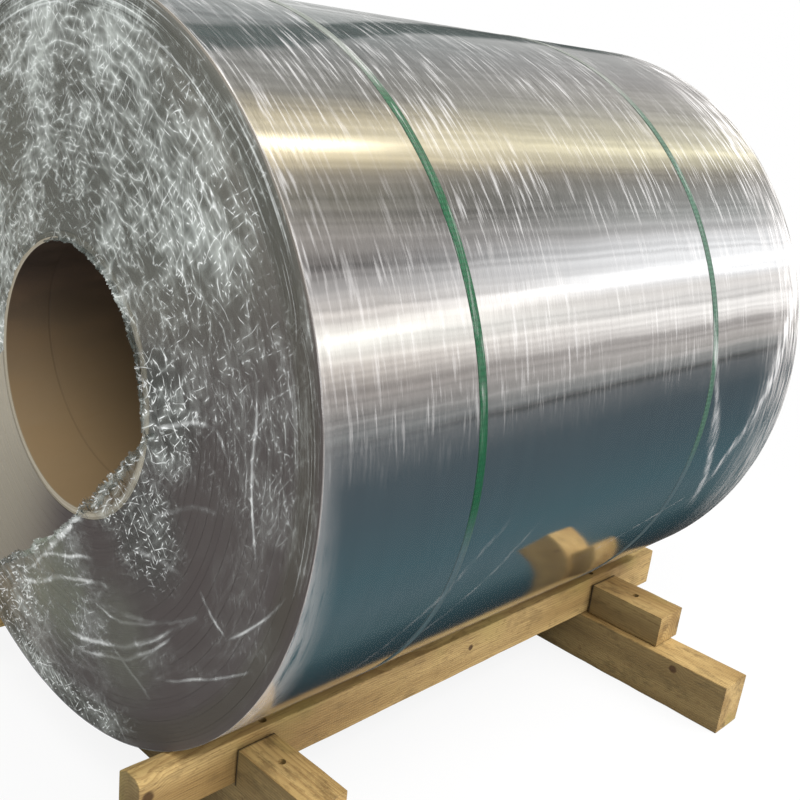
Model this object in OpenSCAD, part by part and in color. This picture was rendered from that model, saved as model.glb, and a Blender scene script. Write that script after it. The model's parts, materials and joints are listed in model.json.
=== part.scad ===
// Coil of aluminium strip wound on a paper core, held by two straps, wrapped in stretch film
// and lying on a timber cradle. Millimetres. The coil's axis runs along X, +Z is up, and the
// origin is on the floor below the middle of the coil.

/* [Coil] */
// Outside diameter of the wound strip
coil_od = 1417; // [1300:1:1500]
// Width of the strip, which is the length of the coil
strip_w = 1524; // [1400:1:1600]
// Number of stepped bands of laps across each end
lap_bands = 24; // [8:1:40]
// Deepest step between two bands of laps
lap_step = 0.8; // [0.2:0.1:2]

/* [Core tube] */
// Inside diameter of the paper tube
core_bore_d = 505; // [400:1:560]
// Wall of the paper tube
core_wall = 18; // [10:1:25]

/* [Straps] */
// Width of each strap
strap_w = 19; // [12:1:32]
// Thickness of each strap
strap_t = 0.9; // [0.6:0.1:1.2]
// From the left end of the strip to the middle of the left strap
strap_left_in = 355; // [250:1:500]
// From the right end of the strip to the middle of the right strap
strap_right_in = 404; // [250:1:500]

/* [Stretch film] */
// Thickness of the layers of film together
film_t = 1; // [0.8:0.1:2]
// How far the film reaches in over the edge of the core tube's wall
film_over_core = 16; // [4:1:16]
// Length of the slope where the film climbs over a strap
film_slope = 6; // [3:1:15]
// Radius at which the bare window on the left end stops
window_r = 563; // [450:1:620]
// Angle below level, at the bore, of the window's lower edge
window_low_in = 124; // [100:1:140]
// Angle below level, at its outer corner, of the window's lower edge
window_low_out = 61; // [50:1:80]
// Angle below level, at its outer corner, of the window's upper edge
window_high_out = 25; // [5:1:40]

/* [Cross beams] */
// Width of a cross beam
beam_w = 107; // [90:1:140]
// Height of a cross beam
beam_h = 131; // [100:1:160]
// Length of a cross beam
beam_len = 1672; // [1500:1:1800]
// Distance between the middles of the two cross beams
beam_spacing = 1145; // [900:1:1250]

/* [Bearers] */
// Width of a bearer
bearer_w = 68; // [60:1:100]
// Height of a bearer
bearer_h = 103; // [80:1:130]
// Length of a bearer
bearer_len = 1694; // [1600:1:1900]
// Depth of the slope on the inner top edge, on which the coil lies
bevel_drop = 14; // [8:1:24]

/* [Stop blocks] */
// Width of the stop blocks on the left cross beam
stop_w_left = 93; // [80:1:110]
// Width of the stop blocks on the right cross beam
stop_w_right = 105; // [80:1:110]
// Height of a stop block
stop_h = 84; // [60:1:100]
// Length of a stop block
stop_len = 214; // [150:1:300]
// How far a stop block sits outward of its cross beam's middle
stop_shift = 19; // [0:1:25]

/* [Spikes] */
// Diameter of a spike's shank
spike_d = 6; // [4:0.5:8]
// Diameter of a spike's head
spike_head_d = 9.4; // [8.5:0.1:12]
// Thickness of a spike's head
spike_head_t = 3; // [2:0.5:5]
// Depth of a spike's head below the face it is driven into
spike_sink = 20; // [5:1:30]
// Length of a spike in a cross beam
spike_bite = 60; // [30:1:80]
// From a bearer to the spikes of its left stop block
stop_spike_left = 80; // [40:1:130]
// From a bearer to the spikes of its right stop block
stop_spike_right = 104; // [40:1:130]
// How far a bearer's spikes sit inward of their cross beam's middle
bearer_spike_shift = 14; // [0:1:30]

/* [Clearances] */
// Gap between wound, wrapped and resting pieces
gap = 0.3; // [0.2:0.05:0.5]
// Gap between a stop block and its bearer
stop_gap = 0.9; // [0:0.1:2]
// Flat on the sawn edges of the timber
arris = 3; // [1:0.5:6]

/* [Hidden] */
$fn = 180;

// Radii of the wrap, from the core outwards
core_r = core_bore_d / 2;
core_outer_r = core_r + core_wall;
coil_bore_r = core_outer_r + gap;
coil_r = coil_od / 2;
strap_r = coil_r + gap;
film_in_r = coil_r + gap;
film_out_r = film_in_r + film_t;
film_bump = strap_t + gap;
film_eye_r = core_outer_r - film_over_core;
window_past = 16;
window_root_r = film_eye_r - window_past;

// Ends and straps along the coil
strip_end = strip_w / 2;
film_end = strip_end + gap;
strap_x = [-strip_end + strap_left_in, strip_end - strap_right_in];
film_half = strap_w / 2 + gap;

// Where the wrapped coil lies on the cradle
seat_r = film_out_r + film_bump + gap;
axis_z = beam_h + seat_r;
bearer_top = beam_h + bearer_h;
seat_angle = acos(1 - (bearer_h - bevel_drop / 2) / seat_r);
bevel_w = bevel_drop / tan(seat_angle);
bearer_in = seat_r * sin(seat_angle) - bevel_w / 2;
bearer_out = bearer_in + bearer_w;
stop_in = bearer_out + stop_gap;

// Spikes
pilot_r = spike_d / 2 + gap;
sink_r = spike_head_d / 2 + gap;
bearer_spike_y = (bearer_in + bevel_w + bearer_out) / 2;
cut_past = 1;

function side(name) = name == "left" ? -1 : 1;
function stop_w(name) = name == "left" ? stop_w_left : stop_w_right;
function stop_x(name) = side(name) * (beam_spacing / 2 + stop_shift);
function stop_spike_y(name) = stop_in - stop_gap + (name == "left" ? stop_spike_left : stop_spike_right);
function bearer_spike_x(name) = side(name) * (beam_spacing / 2 - bearer_spike_shift);

// Angle added from one band of laps to the next, which scatters their depths
lap_turn = 137.5;
// Depth of one band of laps below the end of the coil
function lap_depth(band) = lap_step * (1 + sin(band * lap_turn)) / 2;

// Corners of one end's stepped bands, from the bore to the outside
function lap_points(end) = [
    for (band = [0 : lap_bands - 1])
        for (edge = [0, 1])
            [coil_bore_r + (coil_r - coil_bore_r) * (band + edge) / lap_bands,
             end * (strip_end - lap_depth(band))]
];

// Line along the wrap at radius r, with its climb over each strap
function over_straps(r) = [
    for (x = strap_x)
        for (step = [[-film_half - film_slope, 0], [-film_half, film_bump],
                     [film_half, film_bump], [film_half + film_slope, 0]])
            [r + step[1], x + step[0]]
];

function reversed(points) = [for (i = [len(points) - 1 : -1 : 0]) points[i]];
function polar(r, angle) = [r * cos(angle), -r * sin(angle)];

// Turns a profile of [radius, place along X] about the coil's axis
module turned(points) {
    translate([0, 0, axis_z])
        rotate([0, 90, 0])
            rotate_extrude()
                polygon(points);
}

// Ring about the coil's axis
module ring(inner, outer, from, to) {
    turned([[inner, from], [outer, from], [outer, to], [inner, to]]);
}

module strip_coil() {
    color([0.72, 0.73, 0.75])
        turned(concat(lap_points(-1), reversed(lap_points(1))));
}

module core_tube() {
    color([0.52, 0.42, 0.30])
        ring(core_r, core_outer_r, -strip_end, strip_end);
}

module strap(x) {
    color([0.10, 0.52, 0.36])
        ring(strap_r, strap_r + strap_t, x - strap_w / 2, x + strap_w / 2);
}

// Skin over the outside and both ends, open at the bore and at one bare window
module stretch_film() {
    inside = concat([[film_eye_r, -film_end], [film_in_r, -film_end]], over_straps(film_in_r),
                    [[film_in_r, film_end], [film_eye_r, film_end]]);
    outside = concat([[film_eye_r, -film_end - film_t], [film_out_r, -film_end - film_t]],
                     over_straps(film_out_r),
                     [[film_out_r, film_end + film_t], [film_eye_r, film_end + film_t]]);
    color([0.80, 0.84, 0.86, 0.45])
        difference() {
            turned(concat(outside, reversed(inside)));
            bare_window();
        }
}

// Cut through the film on the left end, where the coil shows bare
module bare_window() {
    translate([-film_end - film_t - cut_past, 0, axis_z])
        rotate([90, 0, 90])
            linear_extrude(film_t + 2 * cut_past)
                polygon([polar(window_root_r, window_low_in), polar(window_r, window_low_out),
                         polar(window_r, window_high_out), polar(window_root_r, 0)]);
}

// Sawn timber of a rectangular section, w by h, standing on its own origin
module sawn_section(w, h) {
    polygon([[-w / 2 + arris, 0], [w / 2 - arris, 0], [w / 2, arris], [w / 2, h - arris],
             [w / 2 - arris, h], [-w / 2 + arris, h], [-w / 2, h - arris], [-w / 2, arris]]);
}

// Timber of length len that runs along Y, with its middle at the origin
module sawn_along_y(w, h, len) {
    translate([0, len / 2, 0])
        rotate([90, 0, 0])
            linear_extrude(len)
                sawn_section(w, h);
}

module cross_beam(name) {
    color([0.60, 0.50, 0.33])
        difference() {
            translate([side(name) * beam_spacing / 2, 0, 0])
                sawn_along_y(beam_w, beam_h, beam_len);
            for (y = [-1, 1]) {
                pilot_hole(stop_x(name), y * stop_spike_y(name));
                pilot_hole(bearer_spike_x(name), y * bearer_spike_y);
            }
        }
}

// Hole for a spike's shank, down into a cross beam
module pilot_hole(x, y) {
    translate([x, y, beam_h - spike_bite])
        cylinder(r = pilot_r, h = spike_bite + cut_past);
}

// Hole for a spike through timber that stands on a cross beam and is h high
module spike_hole(x, y, h) {
    translate([x, y, beam_h - cut_past])
        cylinder(r = pilot_r, h = h + 2 * cut_past);
    translate([x, y, beam_h + h - spike_sink - spike_head_t])
        cylinder(r = sink_r, h = spike_sink + spike_head_t + cut_past);
}

// Spike driven through timber that is h high
module spike(x, y, h) {
    head_z = beam_h + h - spike_sink - spike_head_t;
    translate([x, y, beam_h - spike_bite])
        cylinder(r = spike_d / 2, h = head_z - beam_h + spike_bite);
    translate([x, y, head_z])
        cylinder(r = spike_head_d / 2, h = spike_head_t);
}

// Section of a bearer: [distance out from the coil's axis, height above the cross beam]
module bearer_section() {
    polygon([[bearer_in + arris, 0], [bearer_out - arris, 0], [bearer_out, arris],
             [bearer_out, bearer_h - arris], [bearer_out - arris, bearer_h],
             [bearer_in + bevel_w, bearer_h], [bearer_in, bearer_h - bevel_drop], [bearer_in, arris]]);
}

module bearer(y) {
    color([0.68, 0.57, 0.40])
        difference() {
            translate([-bearer_len / 2, 0, beam_h])
                mirror([0, y < 0 ? 1 : 0, 0])
                    rotate([90, 0, 90])
                        linear_extrude(bearer_len)
                            bearer_section();
            for (name = ["left", "right"])
                spike_hole(bearer_spike_x(name), y * bearer_spike_y, bearer_h);
        }
}

module stop_block(name, y) {
    color([0.64, 0.54, 0.37])
        difference() {
            translate([stop_x(name), y * (stop_in + stop_len / 2), beam_h])
                sawn_along_y(stop_w(name), stop_h, stop_len);
            spike_hole(stop_x(name), y * stop_spike_y(name), stop_h);
        }
}

module stop_spikes() {
    color([0.35, 0.34, 0.33])
        for (name = ["left", "right"], y = [-1, 1])
            spike(stop_x(name), y * stop_spike_y(name), stop_h);
}

module bearer_spikes() {
    color([0.35, 0.34, 0.33])
        for (name = ["left", "right"], y = [-1, 1])
            spike(bearer_spike_x(name), y * bearer_spike_y, bearer_h);
}

strip_coil();
core_tube();
strap(strap_x[0]);  // strap_left
strap(strap_x[1]);  // strap_right
stretch_film();
cross_beam("left");  // cross_beam_left
cross_beam("right");  // cross_beam_right
bearer(-1);  // bearer_front
bearer(1);  // bearer_back
stop_block("left", -1);  // stop_front_left
stop_block("right", -1);  // stop_front_right
stop_block("left", 1);  // stop_back_left
stop_block("right", 1);  // stop_back_right
stop_spikes();
bearer_spikes();
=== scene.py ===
# %% [markdown]
# # A coil of aluminium strip on its timber cradle
# A rolling mill winds thin aluminium strip on a paper tube, holds the last turn with two plastic
# straps, wraps the coil in clear stretch film and lays it on a cradle of sawn timber. The construction
# is already made, at its real size, and it is loaded here as a fixed frame. Each piece takes its place
# from that frame, so nothing is fitted by eye.

# %% Load the frame
import json
import math

import bpy
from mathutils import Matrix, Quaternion, Vector, noise


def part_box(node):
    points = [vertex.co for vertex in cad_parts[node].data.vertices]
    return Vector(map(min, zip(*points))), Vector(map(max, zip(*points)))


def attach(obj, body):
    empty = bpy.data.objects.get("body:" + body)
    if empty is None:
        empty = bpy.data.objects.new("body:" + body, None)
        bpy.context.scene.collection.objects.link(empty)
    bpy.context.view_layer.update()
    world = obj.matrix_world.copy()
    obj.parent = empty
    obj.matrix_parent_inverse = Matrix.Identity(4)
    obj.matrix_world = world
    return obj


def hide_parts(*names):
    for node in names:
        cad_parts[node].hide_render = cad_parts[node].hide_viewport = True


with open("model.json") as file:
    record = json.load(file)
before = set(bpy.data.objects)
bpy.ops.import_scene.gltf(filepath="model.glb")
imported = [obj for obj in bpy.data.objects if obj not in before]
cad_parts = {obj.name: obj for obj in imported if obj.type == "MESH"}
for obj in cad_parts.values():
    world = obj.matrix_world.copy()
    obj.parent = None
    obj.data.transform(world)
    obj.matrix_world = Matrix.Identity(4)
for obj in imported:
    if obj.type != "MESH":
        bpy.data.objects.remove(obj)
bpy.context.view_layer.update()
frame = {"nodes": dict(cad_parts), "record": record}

print("nodes:", ", ".join(sorted(frame["nodes"])))

# %% [markdown]
# All sizes of the coil follow from a few boxes of the frame: the wound strip gives the axis, the width
# and the outside, and the paper tube gives the bore. They are read once, here, and used by name from
# now on.

# %% Sizes read from the frame
strip_low, strip_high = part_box("strip_coil")
core_low, core_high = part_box("core_tube")
axis_z = (strip_low.z + strip_high.z) / 2
axis = Vector((0, 0, axis_z))
coil_r = (strip_high.z - strip_low.z) / 2
strip_end = strip_high.x
core_r = frame["record"]["mounts"][0]["dims"]["r_mm"] / 1000
core_outer_r = (core_high.z - core_low.z) / 2
GAP = 0.0003
print(f"coil {2 * coil_r:.3f} m across and {2 * strip_end:.3f} m wide, bore {2 * core_r:.3f} m")

# %% [markdown]
# Every piece begins the same way: all else is deselected, a primitive is added, and edit mode opens.
# When it is done, its place is applied, so that its object sits at the origin and a pattern on Object
# coordinates stays where it is. These small helpers do that, and they measure the finished mesh.

# %% Helpers that start and finish a piece
MERGE_GAP = 0.00001


def start(name, add, **options):
    """Adds a primitive as a new piece, with its place in its mesh, and opens it in edit mode."""
    bpy.ops.object.select_all(action="DESELECT")
    add(**options)
    piece = bpy.context.object
    piece.name = name
    piece.data.name = name
    bpy.ops.object.transform_apply(location=True, rotation=True, scale=True)
    bpy.ops.object.mode_set(mode="EDIT")
    bpy.ops.mesh.select_mode(type="VERT")
    bpy.ops.mesh.select_all(action="SELECT")
    return piece


def merge_and_face_out():
    """Merges doubles, points all faces outwards and leaves edit mode."""
    bpy.ops.mesh.select_all(action="SELECT")
    bpy.ops.mesh.remove_doubles(threshold=MERGE_GAP)
    bpy.ops.mesh.normals_make_consistent(inside=False)
    bpy.ops.object.mode_set(mode="OBJECT")


def close_up(piece, sharp):
    """Closes the seams of the piece and shades it smooth up to this angle in degrees."""
    merge_and_face_out()
    bpy.ops.object.shade_smooth_by_angle(angle=math.radians(sharp))
    return piece


def apply_modifier(piece, kind, **settings):
    """Adds one modifier to the piece with these settings and applies it."""
    modifier = piece.modifiers.new(kind.title(), kind)
    for name, value in settings.items():
        setattr(modifier, name, value)
    bpy.ops.object.modifier_apply(modifier=modifier.name)


def bisect(place, normal, **options):
    """Cuts the whole open mesh along a plane."""
    bpy.ops.mesh.select_all(action="SELECT")
    bpy.ops.mesh.bisect(plane_co=place, plane_no=normal, **options)


def select_faces(piece, test):
    """Selects the faces whose middle passes the test, and nothing else."""
    bpy.ops.mesh.select_mode(type="FACE")
    bpy.ops.mesh.select_all(action="DESELECT")
    bpy.ops.object.mode_set(mode="OBJECT")
    for face in piece.data.polygons:
        face.select = test(face.center)
    bpy.ops.object.mode_set(mode="EDIT")


def place_piece(piece, material, slot, *nodes):
    """Gives the piece its finish, lets it ride on the frame, and hides the nodes that it stands for."""
    piece.data.materials.clear()
    piece.data.materials.append(material)
    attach(piece, "root")
    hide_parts(*nodes)
    triangles = sum(len(face.vertices) - 2 for face in piece.data.polygons)
    size = " x ".join(f"{side:.3f}" for side in piece.dimensions)
    print(f"{piece.name}: {size} m, {triangles} triangles")


# %% [markdown]
# Most of this object is round about one axis. Such a piece could be a stack of cylinders, but one
# outline turned about the axis gives every step, groove and rounded edge at once, and leaves no inner
# faces. By hand it is one vertex, extruded along the outline, and then Spin. The outline is a list of
# (place along the axis, radius).

# %% Helpers that turn an outline about the coil's axis
ROUND_STEPS = 256


def off_axis(co):
    """Distance of a point from the coil's axis."""
    return math.hypot(co.y, co.z - axis_z)


def spun(name, outline, steps):
    """Extrudes a vertex along the outline and spins it once round the axis, with its seam still open."""
    x, radius = outline[0]
    piece = start(name, bpy.ops.mesh.primitive_plane_add, size=0.01, location=(x, 0, axis_z + radius))
    bpy.ops.mesh.merge(type="CENTER")
    for here, there in zip(outline, outline[1:]):
        step = (there[0] - here[0], 0, there[1] - here[1])
        bpy.ops.mesh.extrude_region_move(TRANSFORM_OT_translate={"value": step})
    bpy.ops.mesh.select_all(action="SELECT")
    bpy.ops.mesh.spin(steps=steps, angle=math.tau, center=axis, axis=(1, 0, 0))
    return piece


def turned(name, outline, steps=ROUND_STEPS, sharp=50):
    """A closed ring: the outline is joined to its own start, turned, and closed up."""
    return close_up(spun(name, outline + outline[:1], steps), sharp)


# %% [markdown]
# ## Writing materials as sums
# A material is a tree of nodes, and a long one is hard to read as a list of links. Here a small class
# wraps one socket, and Python's own signs add the Math nodes: `1 - mask` is a node like any other. All
# other nodes come from one method, which has a short form for Math and for Vector Math.

# %% A class that wraps a socket
class Wire:
    """One output socket of a node tree, on which sums are written as plain expressions."""

    def __init__(self, tree, socket=None):
        self.tree = tree
        self.socket = socket

    def node(self, kind, settings=None, inputs=None, output=0):
        """Adds a node: first its settings, such as a ramp's stops, then its sockets' values or links."""
        made = self.tree.nodes.new("ShaderNode" + kind)
        for name, value in (settings or {}).items():
            if name == "stops":
                set_stops(made.color_ramp, value)
            else:
                setattr(made, name, value)
        for name, value in (inputs or {}).items():
            if isinstance(value, Wire):
                self.tree.links.new(value.socket, made.inputs[name])
            else:
                made.inputs[name].default_value = value
        return Wire(self.tree, made.outputs[output] if made.outputs else None)

    def math(self, operation, *others):
        """A Math node whose first value is this wire."""
        return self.node("Math", {"operation": operation}, dict(enumerate((self, *others))))

    def vector_math(self, operation, inputs, output="Vector"):
        """A Vector Math node whose first vector is this wire."""
        return self.node("VectorMath", {"operation": operation}, {0: self, **inputs}, output)

    def __add__(self, other):
        return self.math("ADD", other)

    def __sub__(self, other):
        return self.math("SUBTRACT", other)

    def __rsub__(self, other):
        return (self * -1).math("ADD", other)

    def __mul__(self, other):
        return self.math("MULTIPLY", other)

    def __truediv__(self, other):
        return self.math("DIVIDE", other)

    def __abs__(self):
        return self.math("ABSOLUTE")

    __radd__ = __add__
    __rmul__ = __mul__


def set_stops(ramp, stops):
    """Sets a ramp's stops, each a place from 0 to 1 and a colour."""
    while len(ramp.elements) < len(stops):
        ramp.elements.new(1)
    for element, (place, colour) in zip(ramp.elements, stops):
        element.position = place
        element.color = colour


def tint(red, green, blue):
    """A colour as a screen shows it, from 0 to 255, as the linear colour that a shader takes."""
    shares = (red / 255, green / 255, blue / 255)
    linear = [share / 12.92 if share < 0.04045 else ((share + 0.055) / 1.055) ** 2.4 for share in shares]
    return (*linear, 1)


# %% [markdown]
# The rest of the words that the materials use are short functions on wires: a point and its three
# parts, a length, a smooth step, a mix of two colours, the strongest of several masks, soft noise, and
# ridges. Ridges are noise that is folded over at its middle value, which draws thin lines that wander
# and cross as the creases of crumpled film do.

# %% Words for places
def parts(vector):
    """The three parts of a vector."""
    first = vector.node("SeparateXYZ", inputs={0: vector})
    return [Wire(vector.tree, socket) for socket in first.socket.node.outputs]


def point(x, y, z):
    """A vector from three parts, of which the first is a wire."""
    return x.node("CombineXYZ", inputs={0: x, 1: y, 2: z})


def length(first, second):
    """The length of a line that reaches this far in two square directions."""
    return (first * first + second * second).math("SQRT")


def stretched(vector, scale, shift=(0, 0, 0)):
    """A vector scaled and shifted by a Mapping node."""
    return vector.node("Mapping", inputs={"Vector": vector, "Location": shift, "Scale": scale})


# %% Words for masks, colours and noise
def smooth(value, low, high, first=0.0, last=1.0):
    """Rises from first to last as the value goes from low to high."""
    ends = {"Value": value, "From Min": low, "From Max": high, "To Min": first, "To Max": last}
    return value.node("MapRange", {"interpolation_type": "SMOOTHSTEP"}, ends)


def strongest(masks):
    """The largest of several masks."""
    first, *others = masks
    for other in others:
        first = first.math("MAXIMUM", other)
    return first


def mix(share, first, second):
    """A colour between two others."""
    return share.node("Mix", {"data_type": "RGBA"}, {0: share, 6: first, 7: second}, output=2)


def blotches(vector, scale, detail=2.0, roughness=0.5, output=0):
    """Soft noise from 0 to 1, or three such noises where the output is Color."""
    sockets = {"Vector": vector, "Scale": scale, "Detail": detail, "Roughness": roughness}
    return vector.node("TexNoise", inputs=sockets, output=output)


def ridges(vector, dimensions="3D"):
    """Noise folded into sharp ridges, as crumpled film has them, from 0 to about 3."""
    settings = {"noise_type": "RIDGED_MULTIFRACTAL", "noise_dimensions": dimensions}
    sockets = {"Vector": vector, "Scale": 1.0, "Detail": 2.0, "Roughness": 0.6, "Gain": 1.0,
               "Offset": 1.0, "Lacunarity": 2.0}
    return vector.node("TexNoise", settings, sockets)


def warped(vector, scale, strength):
    """A vector pushed about by a slow noise, so that what is drawn on it wanders."""
    push = blotches(vector, scale, detail=0.0, output="Color")
    centred = push.vector_math("SUBTRACT", {1: (0.5, 0.5, 0.5)})
    return vector.vector_math("ADD", {1: centred.vector_math("SCALE", {"Scale": strength})})


# %% Words that begin and finish a material
def new_material(name):
    """A new material with an empty tree, and the Object coordinates to draw on it."""
    material = bpy.data.materials.new(name)
    material.use_nodes = True
    material.node_tree.nodes.clear()
    return material, Wire(material.node_tree).node("TexCoord", output="Object")


def finish_material(material, sockets, height=None, depth=0.001):
    """Puts a Principled shader on the material, with a Bump node where a height is given."""
    wire = Wire(material.node_tree)
    if height is not None:
        sockets = {**sockets, "Normal": wire.node("Bump", inputs={"Height": height, "Distance": depth})}
    shader = wire.node("BsdfPrincipled", inputs=sockets)
    wire.node("OutputMaterial", inputs={"Surface": shader})
    print(f"material {material.name}: {len(material.node_tree.nodes)} nodes")
    return material


# %% [markdown]
# ## Camera
# The coil is seen from its left end, a little above the axis, with a slightly wide lens close by. A
# long lens from further off would flatten the near end, so the distance is as telling as the angle. The
# camera looks along a direction given by two angles, and is then rolled about it.

# %% Camera
def looking(yaw, pitch, roll):
    """Rotation of a camera that looks along +Y at yaw 0, with pitch and roll in degrees."""
    yaw, pitch = math.radians(yaw), math.radians(pitch)
    back = Vector((math.sin(yaw) * math.cos(pitch), -math.cos(yaw) * math.cos(pitch), math.sin(pitch)))
    return (-back).to_track_quat("-Z", "Y") @ Quaternion((0, 0, 1), math.radians(roll))


eye = bpy.data.cameras.new("eye")
eye.lens = 46.61
eye.sensor_width = 36
eye.shift_x = 0.0309
eye.shift_y = 0.0251
camera = bpy.data.objects.new("camera", eye)
camera.location = (-1.69153, -1.67852, 1.44726)
camera.rotation_mode = "QUATERNION"
camera.rotation_quaternion = looking(yaw=-46.436, pitch=18.719, roll=6.485)
bpy.context.scene.collection.objects.link(camera)
bpy.context.scene.camera = camera
bpy.context.scene.view_settings.view_transform = "Standard"
print("camera at", [round(part, 3) for part in camera.location], "with a lens of", eye.lens, "mm")

# %% [markdown]
# ## Light
# Aluminium has hardly any colour of its own: it shows what stands around it. A round side mirrors the
# world in bands, and each band is one height above or below level. So the world is drawn as ramps over
# that height, from level behind, down through the ground to level in front, then up over the sky and
# back. Beside the coil's near half stands something else than beside its far half, so there are two
# skies, and the direction along the coil mixes them. Only glossy rays see all this. The camera, and
# what is seen through clear film, finds plain white, and diffuse rays find a soft even light, so that
# timber and film are lit plainly.

# %% Colours of the ground and of the two skies: (height in degrees, red, green, blue)
ground = [
    (-180, 128, 124, 122), (-150, 112, 108, 108), (-126, 64, 62, 60), (-112, 40, 51, 55),
    (-98, 46, 68, 74), (-88, 70, 92, 97), (-76, 78, 99, 105), (-62, 71, 96, 103), (-40, 71, 88, 95),
    (-26, 74, 86, 92), (-15, 102, 106, 108),
]
near_sky = [
    (-9, 128, 129, 128), (4, 164, 156, 150), (11, 228, 218, 208), (18, 255, 252, 242),
    (27, 228, 220, 212), (35, 176, 172, 169), (42, 110, 106, 103), (50, 154, 148, 142),
    (64, 122, 118, 106), (71, 146, 138, 124), (77, 214, 199, 164), (83, 250, 236, 200),
    (92, 196, 184, 154), (102, 128, 126, 118), (121, 128, 130, 127), (138, 132, 138, 137),
    (150, 168, 172, 170), (160, 212, 214, 212),
]
far_sky = [
    (-9, 148, 149, 147), (-5, 174, 169, 164), (3, 180, 174, 170), (10, 255, 251, 246),
    (18, 236, 232, 228), (23, 232, 227, 222), (27, 255, 255, 255), (42, 255, 255, 255),
    (47, 206, 205, 204), (55, 166, 168, 165), (67, 140, 139, 134), (74, 146, 141, 129),
    (80, 202, 195, 168), (86, 238, 230, 194), (91, 212, 206, 180), (108, 180, 176, 166),
    (128, 162, 159, 156), (150, 168, 167, 165), (166, 162, 162, 162),
]


# %% Words for the world
def ramp_place(height):
    """Place on a ramp of a height, where level in front is 0 degrees and straight up is 90."""
    return height / 360 + 0.5


def sky_ramp(height, sky):
    """The colour of the world at a height, from the ground's bands and one sky's."""
    stops = [(ramp_place(degrees), tint(*colour)) for degrees, *colour in ground + sky]
    return height.node("ValToRGB", {"stops": stops}, {0: ramp_place(height)})


def bar(height, middle, half_width):
    """A level bar in the world, 1 at its middle height."""
    return smooth(abs(height - middle), 0.0, half_width, 1.0, 0.0)


# %% What is drawn over the bands of the two skies
def hot_bars(across, height, far):
    """Bright bars high up, where lamps would hang, and one low in front."""
    hot = bar(height, 82, 4.5) * smooth(across, 0.66, 0.74, 1.6, 0.0)
    return hot + bar(height, 85, 3.0) * 0.3 * far + bar(height, 20 + far * 12, 6.0) * 0.5


def dark_bars(across, height):
    """Darker bars: one over the far half, one just below level in front, and one behind."""
    dark = bar(height, 58, 24) * bar(across, 0.78, 0.10) * 0.35
    dark = dark + bar(height, -13, 2.6) * smooth(across, 0.70, 0.79, 0.0, 0.55)
    return dark + smooth(height, 150, 165) * smooth(across, 0.6, 0.75, 0.1, 0.3)


def level_lines(across, height):
    """Level lines that lighten and darken the bands: wide ones in the sky, thin ones about level."""
    wide = blotches(point(across * 1.3, height * 0.42, 0.0), 1.0, 1.0, 0.6) * 1.3 - 0.65
    thin = blotches(point(across * 2.5, height * 1.5, 0.0), 1.0, 1.0, 0.6) * 1.6 - 0.8
    return wide * smooth(height, -16, -6) + thin * bar(height, -6, 34) * smooth(height, -19, -12)


def mirrored_world(direction):
    """The colour that glossy rays find: two skies, a slanting dark strip, bars and level lines."""
    across, along, upward = parts(direction)
    height = upward.math("ARCTAN2", along * -1) * (180 / math.pi)
    far = smooth(across, 0.66, 0.92)
    bands = mix(far, sky_ramp(height, near_sky), sky_ramp(height, far_sky))
    wander = blotches(direction, 9.0, 1.0) * 10 - 5
    strip_middle = (across - 0.58) * 100 + smooth(across, 0.62, 0.76) * 20 + 124
    dark_strip = smooth(abs(height + wander - strip_middle), 5, 10, 1.0, 0.0)
    bands = mix(dark_strip * 0.95, bands, tint(50, 70, 68))
    bars = hot_bars(across, height, far) - dark_bars(across, height)
    return bands.vector_math("SCALE", {"Scale": bars + level_lines(across, height) + 1})


# %% The world
def build_world():
    """The world: two skies for glossy rays, an even light for diffuse rays, white for the camera."""
    world = bpy.data.worlds.new("studio")
    world.use_nodes = True
    world.node_tree.nodes.clear()
    # No small bright lamp is drawn in this world, so rays may find its light by chance.
    world.cycles.sampling_method = "NONE"
    wire = Wire(world.node_tree)
    direction = wire.node("TexCoord")
    across, along, upward = parts(direction)
    towards_light = across * 0.35 - along * 0.45 + upward * 0.82
    even = mix(smooth(towards_light, -0.7, 0.9), tint(150, 152, 154), tint(236, 236, 234))
    even_light = wire.node("Background", inputs={"Color": even})
    mirrored = wire.node("Background", inputs={"Color": mirrored_world(direction)})
    white = wire.node("Background", inputs={"Color": (1, 1, 1, 1)})
    glossy, seen, through = [wire.node("LightPath", output=f"Is {kind} Ray")
                             for kind in ("Glossy", "Camera", "Transmission")]
    light = wire.node("MixShader", inputs={0: glossy, 1: even_light, 2: mirrored})
    light = wire.node("MixShader", inputs={0: seen.math("MAXIMUM", through), 1: light, 2: white})
    wire.node("OutputWorld", inputs={"Surface": light})
    bpy.context.scene.world = world
    print("world:", len(ground), "ground bands,", len(near_sky + far_sky), "sky bands")


build_world()

# %% [markdown]
# Two large soft lamps hang high in front of the coil, one to each side. They give the timber its light
# tops and the creases of the film their glints. Glossy rays don't see them, or they would stand as
# squares in the metal.

# %% The lamps
LAMP_SIZE = 3.0


def hang_lamp(name, place, power):
    """A square lamp at a place, turned to the middle of the coil."""
    light = bpy.data.lights.new(name, "AREA")
    light.shape = "SQUARE"
    light.size = LAMP_SIZE
    light.energy = power
    lamp = bpy.data.objects.new(name, light)
    lamp.location = place
    lamp.rotation_mode = "QUATERNION"
    lamp.rotation_quaternion = (axis - Vector(place)).to_track_quat("-Z", "Y")
    lamp.visible_glossy = False
    lamp.visible_camera = False
    bpy.context.scene.collection.objects.link(lamp)
    print(f"{name}: {power} W over {LAMP_SIZE} m")


hang_lamp("soft_left", (-2.4, -2.2, 4.4), power=150)
hang_lamp("soft_right", (1.8, -3.2, 4.2), power=170)

# %% [markdown]
# The floor is a pale disc that keeps the shadow under the cradle and fades to white, so that it has no
# edge. Glossy rays pass it by and see the ground of the world.

# %% The floor
FLOOR_R = 14


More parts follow.
